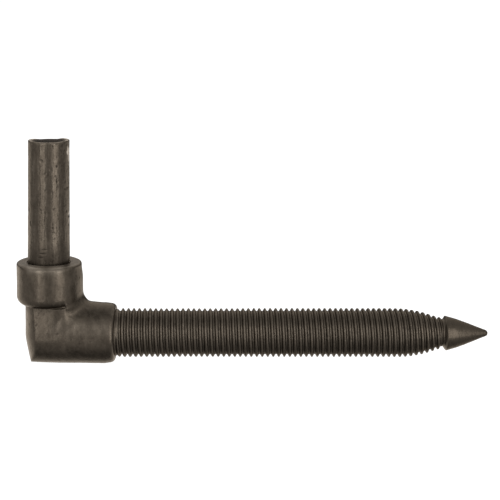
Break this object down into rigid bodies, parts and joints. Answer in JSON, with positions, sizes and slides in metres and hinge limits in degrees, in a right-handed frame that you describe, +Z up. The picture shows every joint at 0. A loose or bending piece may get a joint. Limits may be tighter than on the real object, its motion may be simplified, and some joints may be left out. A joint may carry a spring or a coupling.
{
  "type": "screw-in gate hook",
  "caption": "Gate hinge hook with an upright round pin in a forged eye and elbow, and a threaded shank with a cone point that screws into a gate post.",
  "frame": {"origin": "where the hinge pin's axis meets the flat top of the eye", "axes": "+Z up the hinge pin, +X along the shank towards its point, +Y away from the viewer who sees the shank point right"},
  "size_m": [0.2187, 0.03, 0.1027],
  "materials": {
    "forging": "satin black forged steel",
    "pin_bar": "satin black rolled bar with fine lengthwise scale",
    "shank": "satin black cut thread"
  },
  "bodies": {
    "root": {"eye_elbow": "forging", "hinge_pin": "pin_bar", "threaded_shank": "shank"}
  },
  "joints": []
}
